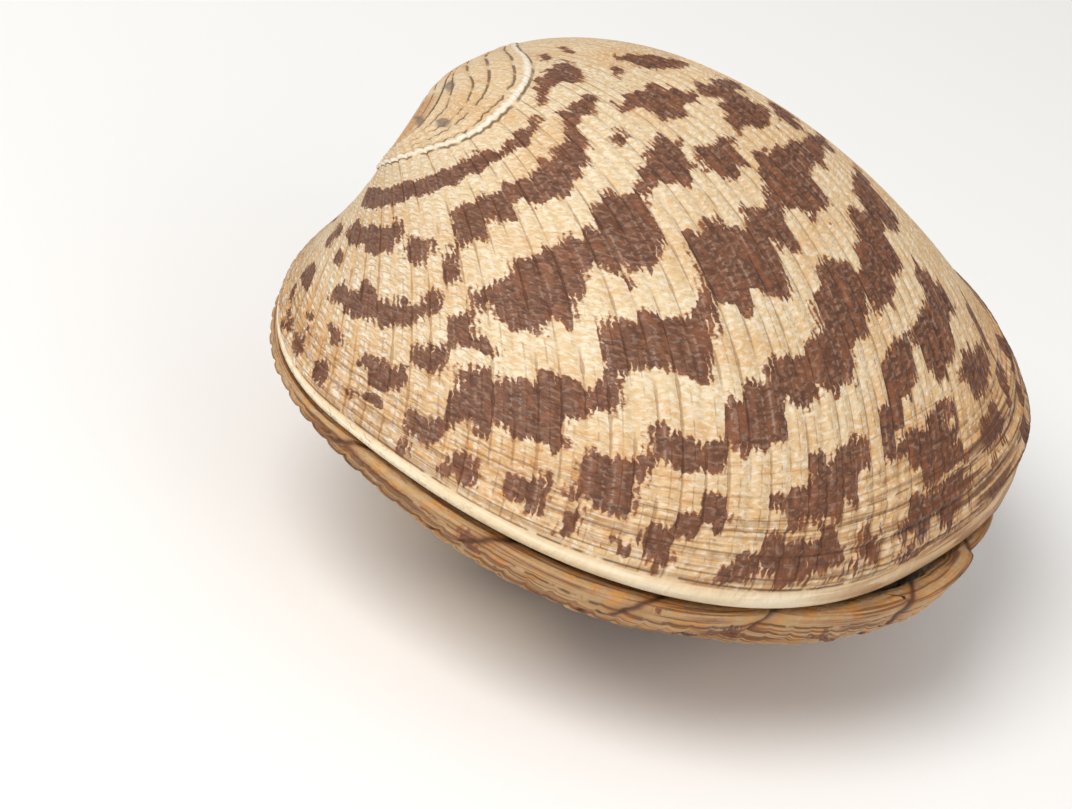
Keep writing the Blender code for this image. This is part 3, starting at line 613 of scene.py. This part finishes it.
def depth_inside(spots, outline):
    """How far each spot of the map lies inside an outline. It is negative outside."""
    nearest = np.full(len(spots), np.inf)
    crossings = np.zeros(len(spots), int)
    for start, end in zip(outline, np.roll(outline, -1, axis=0)):
        side = end - start
        along = ((spots - start) @ side / (side @ side + 1e-9)).clip(0, 1)
        nearest = np.minimum(nearest, np.linalg.norm(spots - start - along[:, None] * side, axis=1))
        if side[1]:
            between = (spots[:, 1] < start[1]) != (spots[:, 1] < end[1])
            crossing = start[0] + (spots[:, 1] - start[1]) / side[1] * side[0]
            crossings += between & (spots[:, 0] < crossing)
    return np.where(crossings % 2 == 1, nearest, -nearest)


def toothed(u, s, seed):
    """Where a point looks its colour up: at its rib's middle, a little up or down that rib."""
    chance = np.random.default_rng(seed)
    shifts = chance.normal(0, TOOTH, (2 * RIBS, TOOTH_LEVELS))
    half_rib = (u * 2 * RIBS).astype(int) % (2 * RIBS)
    level = -np.log(s) * RUN / TOOTH_REACH
    lower = np.floor(level).astype(int) % TOOTH_LEVELS
    part = smooth(level % 1, 0.3, 0.7)
    shift = shifts[half_rib, lower] * (1 - part) + shifts[half_rib, (lower + 1) % TOOTH_LEVELS] * part
    middle = (np.floor(u * RIBS) + 0.5) / RIBS
    return middle + (u - middle) * 0.5, s * np.exp(shift / RUN / s)


def area_field(u, s, laid, spots=None):
    """How far inside these areas each point lies, in map units times its scale."""
    spots = flattened(u, s).reshape(-1, 2) if spots is None else spots
    field = np.full(len(spots), UNMARKED)
    for outline in laid:
        low, high = outline.min(axis=0) - 6, outline.max(axis=0) + 6
        near = ((spots > low) & (spots < high)).all(axis=1)
        if near.any():
            field[near] = np.maximum(field[near], depth_inside(spots[near], outline))
    return field.reshape(u.shape) * s


def wild_blotches(u, s, spots, seed):
    """How far inside the blotches each point lies where the photograph doesn't show them."""
    field = np.empty(len(spots))
    for k, (across, along) in enumerate(spots.tolist()):
        bent = along + ZIGZAG[0] * abs(across / ZIGZAG[1] % 1 - 0.5) * 2
        broad = noise.noise((across / BROAD_SIZE[0], bent / BROAD_SIZE[1], seed))
        small = noise.noise((across / SMALL_SIZE[0], along / SMALL_SIZE[1], seed + 5))
        field[k] = (broad + 0.5 * small - 0.05) * 6
    return field.reshape(u.shape) * s * smooth(s, 0.25, 0.45)


def left_marks(u, s):
    """For each point: depth inside a blotch, umbo ring, depth inside a grey mark and in the wedge."""
    spots = flattened(*toothed(u, s, 11)).reshape(-1, 2)
    hidden = smooth(as_seen(u, s)[1], 0.01, -0.04)
    wild = wild_blotches(u, s, spots, 3.0) - 3 * (1 - hidden)
    field = np.maximum(area_field(u, s, LAID, spots), wild)
    return np.stack([field, ring_level(u, s), area_field(u, s, SMUDGES), area_field(u, s, WEDGE)], -1)


def right_marks(u, s):
    """The same for the right valve, which has no blotch near its margin and no marks on its umbo."""
    spots = flattened(*toothed(u, s, 12)).reshape(-1, 2)
    marks = unmarked(u)
    marks[..., 0] = wild_blotches(u, s, spots, 41.0) - 3 * smooth(s, 0.9, 0.96)
    marks[..., 1] = ring_level(u, s)
    return marks


def colour(tint):
    """A tint as Blender's linear colour."""
    shown = np.array(TINTS[tint]) / 255
    linear = np.where(shown <= 0.04045, shown / 12.92, ((shown + 0.055) / 1.055) ** 2.4)
    return (*linear.tolist(), 1.0)


class Paint:
    """A material with short names for the nodes that make it."""

    def __init__(self, name):
        self.material = bpy.data.materials.new(name)
        self.material.use_nodes = True
        self.tree = self.material.node_tree
        self.shader = self.tree.nodes["Principled BSDF"]

    def node(self, kind, inputs, **settings):
        made = self.tree.nodes.new(kind)
        for name, value in settings.items():
            setattr(made, name, value)
        for name, value in inputs.items():
            if isinstance(value, bpy.types.NodeSocket):
                self.tree.links.new(value, made.inputs[name])
            else:
                made.inputs[name].default_value = value
        return made

    def point_value(self, name):
        """What the mesh holds for each point under this name."""
        return self.node("ShaderNodeAttribute", {}, attribute_name=name).outputs["Fac"]

    def math(self, operation, *values):
        """This operation on the first two values, then on its result and the next one, and so on."""
        result = self.node("ShaderNodeMath", dict(enumerate(values[:2])), operation=operation).outputs[0]
        return self.math(operation, result, *values[2:]) if len(values) > 2 else result

    def add(self, *values):
        return self.math("ADD", *values)

    def times(self, *values):
        return self.math("MULTIPLY", *values)

    def floor(self, value):
        return self.math("FLOOR", value)

    def fract(self, value):
        return self.math("FRACT", value)

    def less(self, value, amount):
        return self.math("SUBTRACT", value, amount)

    def apart(self, value, other):
        return self.math("ABSOLUTE", self.less(value, other))

    def step(self, value, low, high):
        """0 at low, 1 at high, softly. low may be the larger."""
        inputs = {"Value": value, "From Min": low, "From Max": high}
        return self.node("ShaderNodeMapRange", inputs, interpolation_type="SMOOTHSTEP").outputs["Result"]

    def near(self, value, middle, width):
        """1 where the value is at the middle, fading to 0 a width away."""
        return self.step(self.apart(value, middle), width, 0.0)

    def layered(self, ground, *layers):
        """The ground with layers over it, each a share and a colour. A colour may be the name of a tint."""
        for share, layer in layers:
            ground, layer = (colour(c) if isinstance(c, str) else c for c in (ground, layer))
            inputs = {0: share, 6: ground, 7: layer}
            ground = self.node("ShaderNodeMix", inputs, data_type="RGBA", clamp_factor=True).outputs[2]
        return ground

    def noise(self, across, along, seed, detail=0.0):
        place = self.node("ShaderNodeCombineXYZ", {0: across, 1: self.add(along, seed * 37.0)}).outputs[0]
        inputs = {"Vector": place, "Scale": 1.0, "Detail": detail, "Roughness": 0.6}
        return self.node("ShaderNodeTexNoise", inputs, noise_dimensions="2D").outputs["Fac"]

    def chance(self, across, along, seed=0.0):
        """A steady random number for each pair of whole numbers."""
        place = self.node("ShaderNodeCombineXYZ", {0: across, 1: along, 2: seed}).outputs[0]
        return self.node("ShaderNodeTexWhiteNoise", {"Vector": place}).outputs["Value"]


def shell_look(name, lip_from, inside_from, shaded, creases=()):
    """The finish of a valve, painted by rib line and growth line over its blotches and rings."""
    paint = Paint(name)
    step, near, layered, noise = paint.step, paint.near, paint.layered, paint.noise
    times, add, less, apart, floor, fract = (
        paint.times, paint.add, paint.less, paint.apart, paint.floor, paint.fract
    )
    uv = paint.node("ShaderNodeUVMap", {}, uv_map="growth").outputs[0]
    u, v, _ = paint.node("ShaderNodeSeparateXYZ", {"Vector": uv}).outputs
    ribs, levels = times(u, float(RIBS)), times(v, LEVELS)
    ring = paint.point_value("ring")

    # Where on the shell each kind of surface lies.
    front = times(step(u, *FRONT_SIDE), step(v, *SIDES_FROM))
    rear = step(u, *REAR_SIDE)
    margin = step(v, *MARGIN_ZONE)
    umbo = step(ring, -0.3, 0.1)

    def grain(across, along, seed, detail=0.0):
        """Noise with this much of its pattern for each rib and for each level."""
        return noise(times(ribs, across), times(levels, along), seed, detail)

    # The textures that everything below is made of.
    fine = grain(2.3, 2.1, 5.0, 2.0)
    speckle = grain(3.1, 2.7, 6.0)
    streak = grain(1.3, 0.25, 7.0, 1.0)
    broad = grain(0.16, 0.13, 8.0, 1.0)
    patchy = grain(1.1, 0.8, 10.0, 2.0)
    stripes = grain(0.12, 2.6, 13.0, 2.0)

    # Fine lines in the grooves between ribs, and halfway between them near the margin.
    number = floor(add(ribs, 0.5))
    gap = apart(ribs, number)
    wander = times(less(noise(times(number, 3.7), times(levels, 0.5), 1.0, 1.0), 0.5), 0.16)
    broken_line = noise(times(number, 5.3), times(levels, 0.16), 2.0)
    line = times(step(paint.math("ABSOLUTE", add(gap, wander)), 0.085, 0.015), step(broken_line, 0.34, 0.56))
    half_number = add(floor(ribs), 0.5)
    half_gap = apart(ribs, half_number)
    split = step(add(v, times(paint.chance(half_number, 0.0), 0.2)), 0.8, 0.9)
    half_line = times(step(half_gap, 0.055, 0.01), split, step(patchy, 0.42, 0.55), 0.6)
    plain = step(v, 0.92, 0.88) if shaded else step(v, lip_from + 0.001, lip_from - 0.001)
    grooves = times(paint.math("MAXIMUM", line, half_line), plain)

    # Fine threads along the growth lines near the margin, and the beads between threads and ribs.
    wave = times(less(grain(0.08, 0.1, 12.0), 0.5), 0.008)
    cord_count = times(add(v, wave), 1 / CORD_PITCH)
    thread = times(near(fract(cord_count), 0.5, 0.16), margin, step(patchy, 0.42, 0.58))
    bead_count = add(times(v, 1 / BEAD_PITCH), paint.chance(floor(ribs), 3.0), times(fine, 1.2))
    bead = times(step(half_gap, 0.44, 0.12), step(apart(fract(bead_count), 0.5), 0.46, 0.15))

    # The cream of the shell, warmer towards the margin, with painted shade as ochre towards the rear, and
    # darker on the lower valve's margin as painted shade under the upper valve's lip.
    ground = layered(
        "pale",
        (step(fine, 0.34, 0.66), "sand"),
        (times(step(streak, 0.45, 0.7), 0.5), "sand"),
        # The rear share of this ochre is painted shade.
        (add(times(rear, 0.4), times(margin, 0.4), times(umbo, 0.18)), "ochre"),
        (times(step(broad, 0.45, 0.72), 0.45), "ochre"),
        (times(step(patchy, 0.52, 0.68), add(times(margin, 0.4), 0.12)), "ochre"),
        (times(step(patchy, 0.66, 0.74), step(broad, 0.45, 0.6), margin, 0.6), "orange"),
        # Painted light on the beads at the front: pale tops partly painted highlight, ochre round them partly
        # painted shade.
        (times(front, step(bead, 0.5, 0.1), 0.3), "ochre"),
        (times(front, step(bead, 0.5, 1.0), 0.45), "white"),
        # Painted highlight: small white specks over the cream.
        (times(step(speckle, 0.6, 0.7), 0.35), "white"),
        (times(step(patchy, 0.4, 0.3), 0.14), "white"),
        (times(thread, 0.5), "rust"),
        (times(grooves, less(1.0, umbo), 0.62), "groove"),
    )
    # Painted shade under the upper valve's lip darkens the lower valve's margin; the orange stains are its
    # own colour.
    if shaded:
        stain = times(step(patchy, 0.5, 0.66), step(v, 0.85, 0.95), 0.5)
        ground = layered(ground, (times(margin, 0.8), "shade"), (stain, "orange"))

    # The blotches, with finely toothed, rusty edges, and painted highlights on them: pale specks and broken
    # pale streaks beside the grooves.
    teeth = add(times(ribs, 3.0), times(patchy, 1.5))
    uneven = add(0.25, paint.chance(floor(teeth), floor(levels)))
    tooth = times(apart(fract(teeth), 0.5), uneven)
    ragged = add(times(less(0.22, tooth), 0.9), times(less(fine, 0.5), 0.6))
    depth = add(paint.point_value("mark"), times(ragged, step(v, 0.0, 0.75)))
    # Painted highlight: broken pale streaks beside the grooves of the blotches.
    painted_highlight_streaks = times(near(gap, 0.2, 0.1), step(broken_line, 0.5, 0.36), step(fine, 0.45, 0.55))
    brown = layered(
        "dark",
        (step(fine, 0.42, 0.57), "brown"),
        (times(step(streak, 0.48, 0.7), 0.6), "warm"),
        (times(less(1.0, rear), add(0.3, times(front, 0.3))), "mauve"),
        (times(step(patchy, 0.5, 0.38), 0.45), "dark"),
        (times(step(speckle, 0.62, 0.7), 0.22), "glint"),
        (times(grooves, 0.75), "dark"),
        (times(painted_highlight_streaks, 0.4), "glint"),
    )
    shown = layered(
        ground,
        (times(step(depth, -0.2, 0.0), 0.55), "rust"),
        (step(depth, -0.015, 0.035), brown),
        (times(near(depth, 0.06, 0.1), 0.4), "rust"),
    )

    # Dark breaks in the growth, partly painted shadow at the ledges and stronger towards the rear, and the
    # stripes of the last growth behind.
    for scale, width, strength in GROWTH_BREAKS:
        off = times(apart(add(v, wave), scale), less(1.25, times(rear, 0.6)))
        here = times(step(off, width, 0.0), step(patchy, 0.3, 0.44), add(strength, times(rear, 0.3)))
        shown = layered(shown, (here, "line"))
    striped = times(step(v, *STRIPED_ZONE), 0.6 if shaded else add(0.25, times(rear, 0.55)))
    shown = layered(
        shown,
        (times(step(stripes, 0.46, 0.56), striped, 0.7), "warm"),
        (times(step(stripes, 0.56, 0.61), striped), "dark"),
    )

    # The tawny wedge on the umbo, partly painted shade, its pale ridge, its rings with painted shade on their
    # inner side and dark dashes that are partly painted shadow, and the grey marks.
    nearest_ring = floor(add(ring, 0.5))
    dashes = step(noise(times(ribs, 0.55), nearest_ring, 14.0, 1.0), 0.36, 0.52)
    # Dark dashes along the rings, partly painted shadow at their foot.
    ring_line = times(step(apart(ring, nearest_ring), 0.1, 0.02), step(ring, -0.3, -0.2), dashes)
    shown = layered(
        shown,
        (times(step(paint.point_value("wedge"), -0.3, 0.5), 0.75), "tawny"),
        (times(near(ring, 0.28, 0.3), step(v, *RIDGE_FROM), 0.85), "white"),
        # Painted shade on the inner side of each ring.
        (times(step(fract(ring), 0.3, 0.0), step(ring, 0.8, 0.95), 0.35), "ochre"),
        (times(ring_line, 0.75), "line"),
        (times(near(ring, len(RINGS) - 1.0, 0.2), 0.7), "line"),
        (times(step(paint.point_value("smudge"), -0.15, 0.1), 0.8), "grey"),
    )

    # The lip, painted shade in the creases between the lobes, and the porcelain of the inside.
    lip_rear = step(u, *LIP_REAR)
    lip = layered(
        "lip",
        (times(step(stripes, 0.42, 0.56), add(0.45, times(rear, 0.5))), "sand"),
        (times(lip_rear, 0.6), "ochre"),
        (times(step(stripes, 0.46, 0.56), lip_rear, 0.65), "warm"),
        (times(step(v, lip_from + 0.0035, lip_from), 0.45), "ochre"),
    )
    shown = layered(shown, (step(v, lip_from - 0.0008, lip_from + 0.0008), lip))
    # Painted shade in each crease between the lobes: a warm band round a dark line.
    for crease in creases:
        slanted = add(u, times(less(1.0, v), LOBE_SLANT))
        shade, painted_crease_line = times(near(slanted, crease, 0.009), 0.4), times(near(slanted, crease, 0.003), 0.9)
        shown = layered(shown, (shade, "warm"), (painted_crease_line, "line"))
    shown = layered(shown, (step(v, inside_from, inside_from + 0.01), "inside"))

    # A soft gloss, and a bump from beads, grain, grooves and rings.
    rough = paint.node("ShaderNodeMapRange", {"Value": fine, "To Min": 0.4, "To Max": 0.65})
    raised = add(times(fine, 0.8), times(speckle, 0.4), times(bead, add(times(front, 0.8), 0.15)))
    height = less(raised, add(times(grooves, 0.4), times(ring_line, 1.2)))
    bump = paint.node("ShaderNodeBump", {"Height": height, "Strength": 0.7, "Distance": 0.00016})
    paint.shader.inputs["Specular IOR Level"].default_value = 0.3
    for socket, made in (
        ("Base Color", shown), ("Roughness", rough.outputs["Result"]), ("Normal", bump.outputs[0])
    ):
        paint.tree.links.new(made, paint.shader.inputs[socket])
    return paint.material


def plain_look(name, tint, roughness):
    """A material of one tint."""
    paint = Paint(name)
    paint.shader.inputs["Base Color"].default_value = colour(tint)
    paint.shader.inputs["Roughness"].default_value = roughness
    return paint.material


def add_ligament():
    """The dark band behind the beaks, as a finer copy of the solid one."""
    curve = bpy.data.curves.new("ligament_fine", "CURVE")
    curve.dimensions = "3D"
    curve.bevel_depth, curve.bevel_resolution, curve.resolution_u = 1.0, 4, 12
    curve.use_fill_caps = True
    spline = curve.splines.new("BEZIER")
    spline.bezier_points.add(len(LIGAMENT_X) - 1)
    for knot, x, y, radius in zip(spline.bezier_points, LIGAMENT_X, LIGAMENT_Y, LIGAMENT_RADIUS):
        knot.co = (x, y, HINGE_GAP / 2)
        knot.radius = radius
        knot.handle_left_type = knot.handle_right_type = "AUTO"
    bent = in_scene("bent", curve)
    bpy.context.view_layer.update()
    mesh = bpy.data.meshes.new_from_object(bent.evaluated_get(bpy.context.evaluated_depsgraph_get()))
    bpy.data.objects.remove(bent)
    bpy.data.curves.remove(curve)
    points = np.empty(len(mesh.vertices) * 3)
    mesh.vertices.foreach_get("co", points)
    points = placed(points.reshape(-1, 3), Matrix.Identity(4))
    mesh.vertices.foreach_set("co", points.ravel())
    mesh.flip_normals()
    mesh.shade_smooth()
    mesh.materials.clear()
    mesh.materials.append(plain_look("ligament_fine_look", "horn", 0.5))
    return in_scene("ligament_fine", mesh)


def add_floor():
    mesh = bpy.data.meshes.new("floor")
    side = 3.0
    corners = [(-side, -side, 0), (side, -side, 0), (side, side, 0), (-side, side, 0)]
    mesh.from_pydata(corners, [], [(0, 1, 2, 3)])
    mesh.materials.append(plain_look("floor_look", "floor", 0.9))
    floor = in_scene("floor", mesh)


def add_camera():
    lens = bpy.data.cameras.new("camera")
    lens.lens, lens.sensor_width = LENS, SENSOR
    lens.clip_start = 0.01
    camera = in_scene("camera", lens)
    camera.location = CAMERA_AT
    camera.rotation_euler = CAMERA_TURN
    bpy.context.scene.camera = camera


def add_light(name, place, size, power, tint=(1, 1, 1)):
    """A round soft light at this place, turned to the shell."""
    lamp = bpy.data.lights.new(name, "AREA")
    lamp.shape, lamp.size = "DISK", size
    lamp.energy, lamp.color = power, tint
    light = in_scene(name, lamp)
    light.location = place
    light.rotation_euler = (Vector((0, 0, 0.015)) - Vector(place)).to_track_quat("-Z", "Y").to_euler()


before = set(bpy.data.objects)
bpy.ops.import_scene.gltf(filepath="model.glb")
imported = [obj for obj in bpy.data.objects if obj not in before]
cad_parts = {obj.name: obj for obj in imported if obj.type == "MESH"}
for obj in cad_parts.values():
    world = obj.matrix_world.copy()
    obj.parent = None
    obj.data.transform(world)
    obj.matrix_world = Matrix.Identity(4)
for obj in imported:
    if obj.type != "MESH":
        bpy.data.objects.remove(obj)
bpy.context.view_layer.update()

left = valve_mesh("left_valve_fine", 0, True, left_marks)
right = valve_mesh("right_valve_fine", 1, False, right_marks)
creases = [lobe[0] for lobe in LOBES]
left.data.materials.append(shell_look("left_shell_fine", LEFT_LIP, LEFT_INSIDE, False))
right.data.materials.append(shell_look("right_shell_fine", RIGHT_LIP, RIGHT_INSIDE, True, creases))
ligament = add_ligament()
for piece, node in ((left, "valve_left"), (right, "valve_right"), (ligament, "ligament")):
    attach(piece, "root")
    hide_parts(node)
add_floor()
add_camera()
scene = bpy.context.scene
scene.view_settings.view_transform = "Standard"
scene.world = scene.world or bpy.data.worlds.new("world")
scene.world.use_nodes = True
background = scene.world.node_tree.nodes["Background"].inputs
background["Color"].default_value = (1, 1, 1, 1)
background["Strength"].default_value = 0.5
add_light("key", (-0.36, 0.08, 0.46), size=0.4, power=2.5, tint=(1, 0.985, 0.96))
add_light("fill", (-0.25, -0.65, 0.4), size=0.6, power=1.0)
